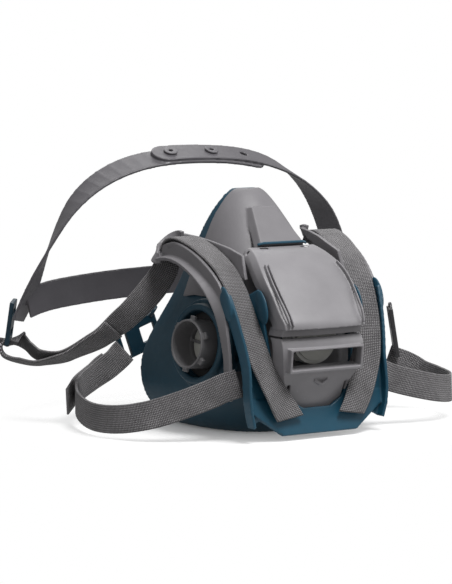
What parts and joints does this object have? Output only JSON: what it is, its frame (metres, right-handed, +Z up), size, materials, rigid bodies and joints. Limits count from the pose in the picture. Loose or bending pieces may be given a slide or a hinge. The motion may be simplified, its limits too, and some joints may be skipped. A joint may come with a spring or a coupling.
{
  "type": "respirator",
  "caption": "Reusable half-mask respirator with a soft face cup, side filter ports, a hinged front latch cover, elastic straps and a head cradle.",
  "frame": {"origin": "on the ground plane, under the middle of the whole object's box, with the straps and cradle laid out behind the mask", "axes": "+Z up from chin to nose; -Y out of the front of the mask, +Y towards the wearer's head; +X to the right as seen from the front"},
  "size_m": [0.2672, 0.1768, 0.1643],
  "materials": {
    "seal_rubber": "soft matte moulded rubber",
    "shell_grey": "fine satin mould texture",
    "cover_grey": "fine satin mould texture",
    "pin_steel": "plain",
    "valve_plastic": "plain",
    "flap_rubber": "thin smooth elastomer",
    "yoke_teal": "satin",
    "cradle_grey": "soft satin flexible plastic",
    "stud_grey": "satin",
    "clip_teal": "satin",
    "port_plastic": "satin",
    "arm_grey": "satin",
    "strap_webbing": "knitted elastic"
  },
  "bodies": {
    "mask": {"face_seal": "seal_rubber", "front_shell": "shell_grey", "latch_hinge_pin": "pin_steel", "exhaust_housing": "cover_grey", "exhalation_valve_seat": "valve_plastic", "yoke": "yoke_teal", "head_cradle": "cradle_grey", "crown_studs": "stud_grey", "neck_clip_left": "clip_teal", "neck_clip_right": "clip_teal", "inhalation_port_left": "port_plastic", "inhalation_port_right": "port_plastic", "port_gasket_left": "flap_rubber", "port_gasket_right": "flap_rubber", "port_retaining_ring_left": "valve_plastic", "port_retaining_ring_right": "valve_plastic", "guide_arm_left": "arm_grey", "guide_arm_right": "arm_grey", "upper_strap_left": "strap_webbing", "upper_strap_right": "strap_webbing", "lower_strap_left": "strap_webbing", "lower_strap_right": "strap_webbing", "cradle_slider_left": "clip_teal", "cradle_slider_right": "clip_teal"},
    "cover": {"latch_cover": "cover_grey"},
    "exhaust_disc": {"exhalation_flap": "flap_rubber"},
    "intake_disc_left": {"inhalation_flap_left": "flap_rubber"},
    "intake_disc_right": {"inhalation_flap_right": "flap_rubber"}
  },
  "joints": [
    {"name": "latch_swing", "type": "hinge", "parent": "mask", "child": "cover", "pos_m": [0, -0.0418, 0.1043], "axis": [-1, 0, 0], "range_deg": [0, 60]},
    {"name": "exhaust_lift", "type": "slide", "parent": "mask", "child": "exhaust_disc", "axis": [0, -1, 0], "range_m": [0, 0.0015], "stiffness_N_per_m": 20},
    {"name": "intake_lift_left", "type": "slide", "parent": "mask", "child": "intake_disc_left", "axis": [0.9871, 0.1212, -0.1045], "range_m": [0, 0.0012], "stiffness_N_per_m": 20},
    {"name": "intake_lift_right", "type": "slide", "parent": "mask", "child": "intake_disc_right", "axis": [-0.9871, 0.1212, -0.1045], "range_m": [0, 0.0012], "stiffness_N_per_m": 20}
  ]
}
